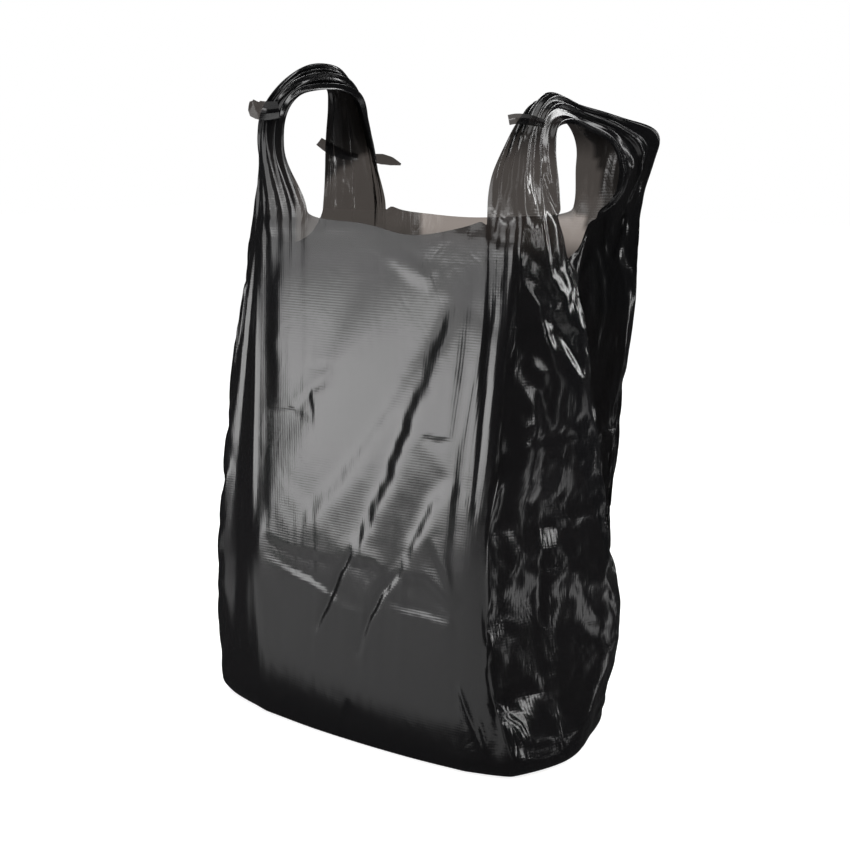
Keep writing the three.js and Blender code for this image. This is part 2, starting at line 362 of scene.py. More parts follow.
def addHandle(vertices, faces, coords, body, run, handle, frontStart, frontWay, backStart, backWay):
    # a band between the front and the back root, both read from the gusset's edge to the mouth's
    rows, columns = body.shape[:2]
    width = 2 * handleShape["halfColumns"] + 1
    front = [(frontStart + i) % columns for i in range(width)][::frontWay]
    back = [(backStart + i) % columns for i in range(width)][::backWay]
    top, below = body[-1], body[-3]
    sections = bandRows(handle, top[front], top[back])
    lengths = np.linalg.norm(np.diff(sections, axis=0), axis=2).mean(1)
    length = lengths.sum()
    share = np.concatenate([[0], np.cumsum(lengths)]) / length

    def pull(step):
        return step / np.linalg.norm(step, axis=1)[:, None] * length * handleShape["rootPull"]

    # the film leaves each root along the wall below it
    slope = np.gradient(sections, share, axis=0)
    slope[0] = pull(top[front] - below[front])
    slope[-1] = pull(below[back] - top[back])
    count = round(length / handleShape["rowSpacing"])
    even = np.linspace(0, 1, count + 1)[1:-1]
    strip = [sections[0]]
    for s in even:
        i = min(np.searchsorted(share, s) - 1, len(share) - 2)
        gap = share[i + 1] - share[i]
        t = (s - share[i]) / gap
        strip.append(hermite(sections[i], sections[i + 1], slope[i] * gap, slope[i + 1] * gap, t))
    strip = pleatBand(np.array([*strip, sections[-1]]))

    topRow = (rows - 1) * columns
    rim = top[front][:, 2]
    previous, vFrom = [topRow + c for c in front], 0
    for n, s in enumerate([*even, 1.0]):
        if s == 1.0:
            fresh = [topRow + c for c in back]
        else:
            fresh = list(range(len(vertices), len(vertices) + width))
            vertices += list(strip[n + 1])
        vTo = s * length
        for c in range(width - 1):
            quad = (previous[c], previous[c + 1], fresh[c + 1], fresh[c])
            column = (frontStart + c) % columns
            uv = ((run[column], vFrom + rim[c]), (run[column + 1], vFrom + rim[c + 1]),
                  (run[column + 1], vTo + rim[c + 1]), (run[column], vTo + rim[c]))
            if frontWay < 0:
                quad, uv = quad[::-1], uv[::-1]
            faces.append(quad)
            coords.append(uv)
        previous, vFrom = fresh, vTo


def filmMesh():
    starts, body = buildGrid()
    middle = body[len(body) // 2]
    run = np.concatenate([[0], np.cumsum(np.linalg.norm(np.roll(middle, -1, 0) - middle, axis=1))])
    vertices = list(body.reshape(-1, 3))
    faces, coords = wallFaces(body, run)
    lastRing = closeBase(vertices, faces, coords, body[0], run)
    addHandle(vertices, faces, coords, body, run, handleShape["left"], starts[0], 1, starts[9], -1)
    addHandle(vertices, faces, coords, body, run, handleShape["right"], starts[3], -1, starts[6], 1)
    mesh = bpy.data.meshes.new("film_bag")
    mesh.from_pydata((np.array(vertices) * metre).tolist(), [], faces)
    layer = mesh.uv_layers.new(name="film")
    layer.data.foreach_set("uv", (np.array(coords, float) * metre).reshape(-1).astype(np.float32))
    work = bmesh.new()
    work.from_mesh(mesh)
    work.verts.ensure_lookup_table()
    seam = [work.verts[i] for i in lastRing]
    bmesh.ops.remove_doubles(work, verts=seam, dist=bagShape["weldGap"] * metre)
    work.to_mesh(mesh)
    work.free()
    mesh.polygons.foreach_set("use_smooth", [True] * len(mesh.polygons))
    mesh.update()
    return mesh


# in metres, degrees and millimetres
view = {"at": (0.839, -1.135, 0.526), "down": 10.2, "turn": 36.8, "lens": 68.1}


def placeCamera():
    # a little above the rim, from the right of the front panel
    camera = bpy.data.cameras.new("camera")
    camera.sensor_width = 36
    camera.lens = view["lens"]
    holder = bpy.data.objects.new("camera", camera)
    bpy.context.collection.objects.link(holder)
    holder.location = view["at"]
    holder.rotation_euler = (math.radians(90 - view["down"]), 0, math.radians(view["turn"]))
    bpy.context.scene.camera = holder


studio = {
    # softbox standing on the floor to the front left, mirrored in the front panel, dimmer towards its top
    "key": {"at": (-0.575, -0.86, 0.17), "aim": (-0.02, -0.09, 0.17), "size": (0.68, 0.30), "power": 3.8},
    "keyMiddle": {"at": (-0.575, -0.86, 0.49), "aim": (-0.02, -0.09, 0.49), "size": (0.68, 0.34),
                  "power": 1.6},
    "keyTop": {"at": (-0.575, -0.86, 1.00), "aim": (-0.02, -0.09, 0.8), "size": (0.68, 0.60), "power": 0.8},
    # pale card on the floor in front, mirrored in the foot of the panel
    "lowCard": {"at": (-0.17, -0.58, 0.004), "aim": (-0.17, -0.58, 1.0), "size": (0.94, 0.79), "power": 1.8},
    "backLeft": {"at": (-1.1, 1.0, 1.5), "aim": (0, 0, 0.35), "size": (0.7, 1.0), "power": 16},
    "right": {"at": (1.6, -0.2, 1.5), "aim": (0.1, 0, 0.35), "size": (0.35, 0.9), "power": 7},
    # narrow strips on the right and behind, caught by the creases of the gusset
    "sideStrip": {"at": (1.55, 0.10, 0.62), "aim": (0.15, -0.05, 0.25), "size": (0.10, 1.0), "power": 3.8},
    "backStrip": {"at": (0.86, 1.30, 0.72), "aim": (0.15, 0, 0.25), "size": (0.12, 0.9), "power": 5.5},
    # long strips on the floor to the right, mirrored upright in the gusset; turn is in degrees
    "floorStrip": {"at": (0.80, 0.22, 0.002), "turn": 18, "size": (1.05, 0.05), "power": 0.30},
    "floorStripBack": {"at": (0.52, 0.66, 0.002), "turn": 62, "size": (1.05, 0.05), "power": 0.28},
    "backGlow": {"at": (1.35, 0.95, 1.25), "aim": (0.15, 0, 0.25), "size": (0.5, 0.5), "power": 5},
}
room = {
    "background": 1.0,  # brightness of the white behind the bag
    "fill": 0.03,  # brightness of the room all round, as the film sees it
    "overhead": 1.0,
    "overheadSoftness": 50,  # degrees
    "overheadTilt": (8, -10),
    "floorSize": 16,
    "floorGap": 0.0006,
    "floorPaint": (0.6, 0.6, 0.6, 1),
    "floorRoughness": 0.7,
    "floorGlow": 0.86,
}


def areaLight(name, at, size, power, aim=None, turn=0):
    light = bpy.data.lights.new(name, "AREA")
    light.shape = "RECTANGLE"
    light.size, light.size_y = size
    light.energy = power
    holder = bpy.data.objects.new(name, light)
    bpy.context.collection.objects.link(holder)
    holder.location = at
    if aim is None:  # lies on the floor and shines straight up
        holder.rotation_euler = (math.pi, 0, math.radians(turn))
    else:
        holder.rotation_euler = (Vector(aim) - Vector(at)).to_track_quat("-Z", "Y").to_euler()
    holder.visible_camera = False


def buildStudio():
    world = bpy.data.worlds.new("studio")
    bpy.context.scene.world = world
    world.use_nodes = True
    nodes, links = world.node_tree.nodes, world.node_tree.links
    nodes.clear()
    out = nodes.new("ShaderNodeOutputWorld")
    mix = nodes.new("ShaderNodeMixShader")
    path = nodes.new("ShaderNodeLightPath")
    links.new(path.outputs["Is Camera Ray"], mix.inputs["Fac"])
    for socket, strength in ((mix.inputs[1], room["fill"]), (mix.inputs[2], room["background"])):
        glow = nodes.new("ShaderNodeBackground")
        glow.inputs["Color"].default_value = (1, 1, 1, 1)
        glow.inputs["Strength"].default_value = strength
        links.new(glow.outputs[0], socket)
    links.new(mix.outputs[0], out.inputs["Surface"])
    for name, values in studio.items():
        areaLight(name, **values)
    sun = bpy.data.lights.new("overhead", "SUN")
    sun.energy = room["overhead"]
    sun.angle = math.radians(room["overheadSoftness"])
    overhead = bpy.data.objects.new("overhead", sun)
    overhead.rotation_euler = (*(math.radians(angle) for angle in room["overheadTilt"]), 0)
    bpy.context.collection.objects.link(overhead)
    bpy.ops.mesh.primitive_plane_add(size=room["floorSize"], location=(0, 0, cadLow.z - room["floorGap"]))
    floor = bpy.context.object
    floor.name = "floor"
    paint = bpy.data.materials.new("floor_paint")
    paint.use_nodes = True
    shader = paint.node_tree.nodes["Principled BSDF"]
    shader.inputs["Base Color"].default_value = room["floorPaint"]
    shader.inputs["Emission Color"].default_value = (1, 1, 1, 1)
    shader.inputs["Emission Strength"].default_value = room["floorGlow"]
    shader.inputs["Roughness"].default_value = room["floorRoughness"]
    floor.data.materials.append(paint)
    floor.visible_glossy = False
    bpy.context.scene.view_settings.view_transform = "Standard"


film = {
    "colour": (0.004, 0.004, 0.0045, 1),
    "roughness": 0.17,
    "refraction": 1.52,
    "passes": 0.060,  # share of the light that one sheet lets through
    "tint": (1.0, 0.88, 0.80, 1),
    "embossPitch": 2.3,  # millimetres between the lines that the film is embossed with
    "embossDepth": 0.020,
    "crinkleSize": 21,
    "crinkleDepth": 1.3,
    "crinkleStretch": 0.6,  # under 1 makes crinkles longer up and down than across
    "crinkleDetail": 2,
    "crinkleRoughness": 0.5,
    "crinkleDistortion": 0.7,
}


def filmMaterial():
    material = bpy.data.materials.new("film")
    material.use_nodes = True
    nodes, links = material.node_tree.nodes, material.node_tree.links
    nodes.clear()

    def calculate(operation, *values):
        node = nodes.new("ShaderNodeMath")
        node.operation = operation
        for socket, value in zip(node.inputs, values):
            if isinstance(value, bpy.types.NodeSocket):
                links.new(value, socket)
            else:
                socket.default_value = value
        return node.outputs[0]

    def bump(height, depth, normal=None):
        node = nodes.new("ShaderNodeBump")
        node.inputs["Distance"].default_value = depth * metre
        links.new(height, node.inputs["Height"])
        if normal is not None:
            links.new(normal, node.inputs["Normal"])
        return node.outputs["Normal"]

    def marked(name):
        node = nodes.new("ShaderNodeAttribute")
        node.attribute_name = name
        return node.outputs["Fac"]

    # crinkles, stronger where the film is crumpled
    place = nodes.new("ShaderNodeTexCoord")
    stretch = nodes.new("ShaderNodeMapping")
    stretch.inputs["Scale"].default_value = (1, 1, film["crinkleStretch"])
    links.new(place.outputs["Object"], stretch.inputs["Vector"])
    noise = nodes.new("ShaderNodeTexNoise")
    noise.inputs["Scale"].default_value = 1 / (film["crinkleSize"] * metre)
    noise.inputs["Detail"].default_value = film["crinkleDetail"]
    noise.inputs["Roughness"].default_value = film["crinkleRoughness"]
    noise.inputs["Distortion"].default_value = film["crinkleDistortion"]
    links.new(stretch.outputs["Vector"], noise.inputs["Vector"])
    ridges = calculate("ABSOLUTE", calculate("SUBTRACT", noise.outputs[0], 0.5))
    crinkled = bump(calculate("MULTIPLY", ridges, marked("crumple")), film["crinkleDepth"])

    # embossed lines both ways across the film
    cloth = nodes.new("ShaderNodeUVMap")
    cloth.uv_map = "film"
    across = nodes.new("ShaderNodeSeparateXYZ")
    links.new(cloth.outputs["UV"], across.inputs["Vector"])
    turns = 2 * np.pi / (film["embossPitch"] * metre)
    lines = calculate("SINE", calculate("MULTIPLY", across.outputs["X"], turns))
    rows = calculate("SINE", calculate("MULTIPLY", across.outputs["Y"], turns))
    pattern = calculate("MULTIPLY", calculate("ADD", lines, rows), marked("embossed"))
    embossed = bump(pattern, film["embossDepth"] / 2, crinkled)

    body = nodes.new("ShaderNodeBsdfPrincipled")
    body.inputs["Base Color"].default_value = film["colour"]
    body.inputs["Roughness"].default_value = film["roughness"]
    body.inputs["IOR"].default_value = film["refraction"]
    links.new(embossed, body.inputs["Normal"])
    clear = nodes.new("ShaderNodeBsdfTransparent")
    clear.inputs["Color"].default_value = film["tint"]
    blend = nodes.new("ShaderNodeMixShader")
    links.new(calculate("MULTIPLY", marked("sheer"), film["passes"]), blend.inputs["Fac"])
    links.new(body.outputs["BSDF"], blend.inputs[1])
    links.new(clear.outputs["BSDF"], blend.inputs[2])
    output = nodes.new("ShaderNodeOutputMaterial")
    links.new(blend.outputs["Shader"], output.inputs["Surface"])
    return material


# Where the film is crumpled, and where it is nearly a single sheet. Two numbers after an amount are the
# height at which it starts and the distance over which it grows.
marks = {
    "facing": (0.72, 0.2),  # how squarely a point looks forwards, to belong to the front panel
    "panelTop": 450,
    "crumple": 0.8,
    "panelLess": 0.64,
    "foot": {"more": 0.5, "reach": 34, "panelShare": 0.2},
    "corner": {"more": 1.0, "at": (122, -90, 40), "spread": 2200},
    "rimSpot": {"more": 0.6, "at": (60, 425), "spread": 2000},
    "mostCrumple": 1.6,
    "legsLess": (0.75, 510, 25),
    "sheer": 0.42,
    "upperMore": (0.58, 405, 40),
    "bunchedLess": (0.75, 505, 22),
    "backRim": {"more": (3.4, 418, 20), "behind": 60, "middle": 14, "halfWidth": 88, "top": 456},
    "leftLegs": -90,  # both legs of the left handle are left of this
    "frontLeg": {"share": 0.1, "from": 380},
    "rearLeg": {"less": (0.85, 482, 6), "slant": 0.5, "middle": 14, "from": 470},  # doubled over
    "rightRear": {"share": 0.2, "right": 118, "behind": 46, "from": 380},
    "embossEnds": (528, 60),
}


def markFilm(mesh):
    place, normal = readPoints(mesh)
    x, y, z = place.T
    foot, corner, spot = marks["foot"], marks["corner"], marks["rimSpot"]
    onFront = ramp(-normal[:, 1], *marks["facing"]) * (z < marks["panelTop"])
    crumple = marks["crumple"] - marks["panelLess"] * onFront
    crumple += foot["more"] * np.exp(-(z / foot["reach"]) ** 2) * (1 - (1 - foot["panelShare"]) * onFront)
    cx, cy, cz = corner["at"]
    crumple += corner["more"] * np.exp(-((x - cx) ** 2 + (y - cy) ** 2 + (z - cz) ** 2) / corner["spread"])
    sx, sz = spot["at"]
    crumple += spot["more"] * np.exp(-((x - sx) ** 2 + (z - sz) ** 2) / spot["spread"]) * onFront
    less, start, span = marks["legsLess"]
    crumple = np.minimum(crumple, marks["mostCrumple"]) * (1 - less * ramp(z, start, span))

    more, start, span = marks["upperMore"]
    sheer = marks["sheer"] + more * ramp(z, start, span)
    less, start, span = marks["bunchedLess"]
    sheer *= 1 - less * ramp(z, start, span)
    pale = marks["backRim"]
    more, start, span = pale["more"]
    within = (y > pale["behind"]) * (np.abs(x - pale["middle"]) < pale["halfWidth"]) * (z < pale["top"])
    sheer += more * ramp(z, start, span) * within
    left = x < marks["leftLegs"]
    leg = marks["frontLeg"]
    sheer[left & (y < 0) & (z > leg["from"])] *= leg["share"]
    leg = marks["rearLeg"]
    less, start, span = leg["less"]
    doubled = ramp(z - leg["slant"] * (y - leg["middle"]), start, span)
    chosen = left & (y > 0) & (z > leg["from"])
    sheer[chosen] *= (1 - less * doubled)[chosen]
    rear = marks["rightRear"]
    sheer[(x > rear["right"]) & (y > rear["behind"]) & (z > rear["from"])] *= rear["share"]
    high, span = marks["embossEnds"]
    embossed = ramp(high - z, 0, span)
    for name, values in (("crumple", crumple), ("sheer", sheer), ("embossed", embossed)):
        mark = mesh.attributes.new(name, "FLOAT", "POINT")
        mark.data.foreach_set("value", values.astype(np.float32))


# Folds on the four sides. Each runs along a path of (across, height) points and steps from high on its left
# to low on its right, or sinks to a crease: (side, path, half width, step, crease, raggedness), in
# millimetres. Across is x on the front and back, y on the gussets. Broad folds are pressed before the film
# is subdivided, fine ones and those of the legs after it.
folds = {
    "broad": [
        ("front", [(110, 428), (62, 362), (10, 290), (-35, 233), (-90, 178)], 13, 2.6, 0, 0),
        ("front", [(86, 392), (60, 335), (38, 290), (20, 245), (0, 205), (-22, 168)], 12, 4.6, 0, 1.0),
        ("front", [(86, 248), (64, 222), (47, 190), (33, 158)], 10, 3.6, 0, 0.9),
        ("front", [(-116, 420), (-121, 350), (-118, 290)], 7, 1.4, 0, 1),
        ("front", [(132, 428), (106, 330), (90, 250), (84, 190), (90, 90)], 4, -0.9, 0, 0.4),
        ("front", [(20, 440), (-20, 380), (-70, 300), (-112, 240)], 22, 1.6, 0, 0),
        ("right", [(-78, 420), (-72, 300), (-74, 160), (-80, 60)], 8, 2.6, 0, 1),
        ("right", [(-46, 400), (-52, 300), (-44, 205), (-34, 110), (-30, 40)], 6, -2.4, 1.0, 0.6),
        ("right", [(-22, 330), (-10, 250), (-32, 150)], 7, 2.0, 0, 1),
        ("right", [(26, 250), (30, 160), (22, 60)], 9, 2.4, 0, 0),
        ("left", [(-60, 380), (-58, 250), (-62, 120), (-50, 40)], 9, 3.0, 0, 0),
        ("left", [(-20, 330), (-10, 200), (-25, 70)], 10, -3.0, 0, 0),
        ("left", [(30, 400), (22, 260), (34, 90)], 9, 2.6, 0, 0),
        ("back", [(-100, 430), (-60, 350), (-10, 260), (50, 190)], 12, 3.0, 0, 1),
        ("back", [(110, 420), (80, 330), (20, 240), (-50, 150)], 11, -3.2, 0, 1),
        ("back", [(-70, 300), (-60, 200), (-80, 80)], 9, 2.4, 0, 1),
        ("back", [(90, 220), (70, 130), (84, 40)], 9, -2.4, 0, 0),
    ],
    "fine": [
        ("front", [(-20, 172), (-33, 150), (-62, 92)], 3.0, 1.4, 1.3, 0.3),
        ("front", [(34, 162), (14, 140), (0, 116), (-12, 78)], 3.0, 1.4, 1.3, 0.3),
        ("front", [(-129, 170), (-111, 163), (-75, 160), (-38, 160)], 4.0, 0.9, 0, 1.2),
        ("front", [(-22, 162), (4, 166), (12, 158)], 3.5, 1.6, 0, 0.4),
        ("front", [(36, 158), (60, 160), (90, 140)], 4.0, 1.8, 0, 0.6),
        ("front", [(-128, 151), (-90, 143), (-59, 133), (-20, 126)], 2.2, -0.5, 0, 1.4),
        ("front", [(-100, 146), (-70, 136), (-40, 124), (0, 120)], 2.0, -0.4, 0, 1.6),
        ("front", [(20, 132), (60, 128), (90, 127)], 2.6, -0.6, 0, 1.4),
        ("front", [(66, 196), (74, 176), (90, 142)], 3.0, 1.2, 0, 0.4),
        ("front", [(-126, 284), (-96, 287), (-66, 281)], 2.6, 0.7, 0.3, 0.5),
        ("front", [(-96, 288), (-74, 306), (-66, 281)], 3.0, 0.7, 0, 0.4),
        ("front", [(-78, 330), (-46, 332)], 3.0, 0.5, 0.2, 0.3),
        ("front", [(54, 281), (70, 279), (84, 281)], 2.0, 0.5, 0.6, 0.3),
        ("front", [(30, 432), (52, 418), (70, 424)], 5.0, -0.7, 0, 0.8),
        ("front", [(10, 426), (36, 410), (58, 402)], 6.0, 0.6, 0, 0.8),
        ("front", [(-105, 2), (-98, 24)], 2.6, 0.8, 1.0, 0),
        ("front", [(-32, 2), (-24, 36)], 2.6, 0.8, 1.0, 0),
        ("front", [(94, 78), (108, 48), (122, 16)], 2.2, 0, -1.4, 0),
        ("front", [(116, 50), (126, 16)], 2.2, 0, -1.4, 0),
        ("right", [(-88, 118), (-96, 92), (-112, 66)], 5.0, 0, -4.5, 1.0),
        ("right", [(-62, 371), (-30, 372), (-2, 366)], 3.0, 1.6, 0, 0.4),
        ("right", [(-48, 256), (-20, 254), (10, 257)], 3.0, 1.2, 0, 0.6),
        ("right", [(-36, 230), (-35, 144), (-32, 40)], 2.6, 0, 1.4, 0.3),
        ("right", [(-60, 330), (-58, 250)], 2.4, 0, -0.9, 0.6),
        ("right", [(-92, 300), (-88, 250), (-90, 200)], 2.6, 0, -1.0, 1.0),
    ],
    "legs": [
        ("right", [(-52, 506), (-43, 482), (-34, 462)], 3.0, 2.8, 0, 0),
        ("right", [(-36, 462), (-24, 470), (-14, 482)], 3.0, 2.6, 0, 0),
        ("right", [(-36, 464), (-26, 446), (-20, 424)], 3.0, -2.6, 0, 0),
        ("right", [(22, 498), (36, 484), (60, 476)], 4.0, 2.4, 0, 0),
        ("right", [(60, 512), (74, 500), (80, 470)], 4.0, -2.4, 0, 0),
        ("front", [(150, 505), (128, 480), (118, 452)], 5.0, 2.2, 0, 0.6),
        ("front", [(112, 470), (130, 462), (150, 470)], 3.0, 1.6, 0, 0.8),
        ("front", [(108, 450), (126, 440), (150, 446)], 3.0, -1.4, 0, 0.8),
        ("front", [(-140, 530), (-130, 490), (-128, 440)], 4.0, 2.4, 0, 0.4),
    ],
}
outwards = {"front": (0, -1), "back": (0, 1), "right": (1, 0), "left": (-1, 0)}
pressing = {
    "legsFrom": (415, 20),  # height at which the folds of the legs begin, and the distance they grow over
    "footFade": 12,
    "rimFade": (2, 14),  # distance above the rim at which the other folds end, and their fade
    "outside": 60,  # only film further out than this is pressed
    "facing": (0.2, 0.35),
    "ragged": ((7.1, 1.0), (4.3, 0.8)),  # wave lengths and amounts
}


def alongPath(points, path):
    # signed distance to the path, positive on its right, and the share of its length at the nearest point
    path = np.array(path, float)
    run = np.concatenate([[0], np.cumsum(np.linalg.norm(np.diff(path, axis=0), axis=1))])
    best = np.full(len(points), 1e9)
    signed, share = np.zeros(len(points)), np.zeros(len(points))
    for k, (start, end) in enumerate(zip(path[:-1], path[1:])):
        step = end - start
        t = np.clip(((points - start) @ step) / (step @ step), 0, 1)
        gap = points - start - t[:, None] * step
        distance = np.linalg.norm(gap, axis=1)
        side = np.sign(step[1] * gap[:, 0] - step[0] * gap[:, 1])
        near = distance < best
        best[near] = distance[near]
        signed[near] = (distance * side)[near]
        share[near] = (run[k] + t * (run[k + 1] - run[k]))[near] / run[-1]
    return signed, share


def readPoints(mesh):
    place = np.empty(len(mesh.vertices) * 3)
    mesh.vertices.foreach_get("co", place)
    normal = np.empty(len(mesh.vertices) * 3)
    mesh.vertex_normals.foreach_get("vector", normal)
    return place.reshape(-1, 3) / metre, normal.reshape(-1, 3)


def writePoints(mesh, place):
    mesh.vertices.foreach_set("co", (place * metre).reshape(-1))
    mesh.update()


def pressFolds(mesh, kind):
    place, normal = readPoints(mesh)
    height = place[:, 2].copy()
    if kind == "legs":
        lift = ramp(height, *pressing["legsFrom"])
    else:
        over, fade = pressing["rimFade"]
        lift = ramp(height, 0, pressing["footFade"]) * ramp(bagShape["rim"] + over - height, 0, fade)
    flat = place.copy()
    (slow, much), (quick, little) = pressing["ragged"]
    for side, path, width, step, crease, ragged in folds[kind]:
        ox, oy = outwards[side]
        across = flat[:, 0] if ox == 0 else flat[:, 1]
        facing = normal[:, 0] * ox + normal[:, 1] * oy
        outer = (flat[:, 0] * ox + flat[:, 1] * oy) > pressing["outside"]
        signed, share = alongPath(np.stack([across, height], 1), path)
        # the back and the left side are seen from behind, so right and left change places there
        signed = signed * (1 if side in ("front", "right") else -1)
        wander = much * np.sin(height / slow + width) + little * np.sin(height / quick + across / 6 + step)
        s = (signed + ragged * wander) / width
        press = -step * s / (1 + s * s) - crease / (1 + s * s) ** 1.5
        taper = np.sqrt(np.clip(np.sin(np.pi * share), 0, 1))  # towards both ends of the path
        weight = taper * lift * ramp(facing, *pressing["facing"]) * outer
        place[:, 0] += ox * press * weight
        place[:, 1] += oy * press * weight
    writePoints(mesh, place)


# The film is held by its handles, its foot and, weakly, everywhere else. It is cut a little too large for
# the shape that it hangs in, and is drawn up to its full height as it relaxes, so the slack goes into
# upright folds.
relaxing = {
    "frames": 14,
    "drawnUpBy": 10,
    "drawnUp": 0.003,
    "growth": 0.026,
    "frontGrowth": 0.001,
    "facing": (0.75, 0.2),  # how squarely a point looks forwards, to belong to the front panel
    "hold": 0.05,
    "holdTop": (428, 22),
    "holdFoot": (22, 14),
    "holdFold": {"hold": 0.9, "at": (-136, -83), "spread": 60},  # keeps the left front fold crisp
    "quality": 6,
    "mass": 0.02,
    "stretch": 15,
    "shear": 8,
    "bend": 0.02,
    "damping": 5,
    "bendDamping": 0.5,
    "airDamping": 4,
}


def nameGroup(bag, name, weights, steps=25):
    # weights are rounded to steps, so that each step is added in one go
    group = bag.vertex_groups.new(name=name)
    for step in range(steps + 1):
        chosen = np.nonzero(np.round(weights * steps) == step)[0]
        if len(chosen):
            group.add(chosen.tolist(), step / steps, "REPLACE")


def relaxFilm(bag):
    mesh = bag.data
    place, normal = readPoints(mesh)
    x, y, z = place.T
    footTop, footSpan = relaxing["holdFoot"]
    fold = relaxing["holdFold"]
    foldX, foldY = fold["at"]
    hold = np.maximum(relaxing["hold"], ramp(z, *relaxing["holdTop"]))
    hold = np.maximum(hold, ramp(footTop - z, 0, footSpan))
    nearFold = np.exp(-((x - foldX) ** 2 + (y - foldY) ** 2) / fold["spread"])
    hold = np.maximum(hold, fold["hold"] * nearFold)
    onFront = ramp(-normal[:, 1], *relaxing["facing"])
    nameGroup(bag, "hold", hold)
    nameGroup(bag, "steady", onFront * (1 - relaxing["frontGrowth"] / relaxing["growth"]))
    squat = place * np.array([1, 1, 1 / (1 + relaxing["drawnUp"])])
    bag.shape_key_add(name="squat").data.foreach_set("co", (squat * metre).reshape(-1))
    tall = bag.shape_key_add(name="tall")
    tall.data.foreach_set("co", (place * metre).reshape(-1))
    for value, frameNumber in ((0, 1), (1, relaxing["drawnUpBy"])):
        tall.value = value
        tall.keyframe_insert("value", frame=frameNumber)
    cloth = bag.modifiers.new("relax", "CLOTH")
    settings = cloth.settings
    settings.quality = relaxing["quality"]
    settings.mass = relaxing["mass"]
    settings.tension_stiffness = settings.compression_stiffness = relaxing["stretch"]
    settings.shear_stiffness = relaxing["shear"]
    settings.bending_stiffness = relaxing["bend"]
    settings.tension_damping = settings.compression_damping = relaxing["damping"]
    settings.shear_damping = relaxing["damping"]
    settings.bending_damping = relaxing["bendDamping"]
    settings.air_damping = relaxing["airDamping"]
    settings.shrink_min = -relaxing["growth"]
    settings.shrink_max = 0
    settings.vertex_group_shrink = "steady"
    settings.vertex_group_mass = "hold"
    settings.pin_stiffness = 1.0
    settings.effector_weights.gravity = 0.0
    cloth.collision_settings.use_self_collision = False
    cloth.collision_settings.use_collision = False
    cloth.point_cache.frame_start = 1
    cloth.point_cache.frame_end = relaxing["frames"]
    scene = bpy.context.scene
    for number in range(1, relaxing["frames"] + 1):
        scene.frame_set(number)
    evaluated = bag.evaluated_get(bpy.context.evaluated_depsgraph_get())
    moved = np.empty(len(place) * 3)
    evaluated.data.vertices.foreach_get("co", moved)
    moved = moved.reshape(-1, 3) / metre
    shift = np.linalg.norm(moved - place, axis=1)
    print("relaxed: moved", round(shift.mean(), 2), "mm on average,", round(shift.max(), 1), "mm at most")
    bag.modifiers.remove(cloth)
    bag.shape_key_clear()
    writePoints(mesh, moved)
    scene.frame_set(1)
    bag.vertex_groups.clear()


def applyModifiers(bag):
    evaluated = bag.evaluated_get(bpy.context.evaluated_depsgraph_get())
    mesh = bpy.data.meshes.new_from_object(evaluated)
    bag.modifiers.clear()
    bag.data = mesh


def subdivide(bag):
    smooth = bag.modifiers.new("round", "SUBSURF")
    smooth.levels = smooth.render_levels = 1
    applyModifiers(bag)


crinkle = {
    "Waves": 2.4,  # depth of the soft waves where the film is fully crumpled, in millimetres
    "Wave Size": 42.0,
    "Facets": 5.0,  # depth of the creased facets
    "Facet Size": 44.0,
    "Stretch": 0.62,
    "Seed": 4.0,
}
crinkleReach = {"foot": 0.030, "top": 0.520, "topFade": 0.060}  # metres; none on the floor or the arches


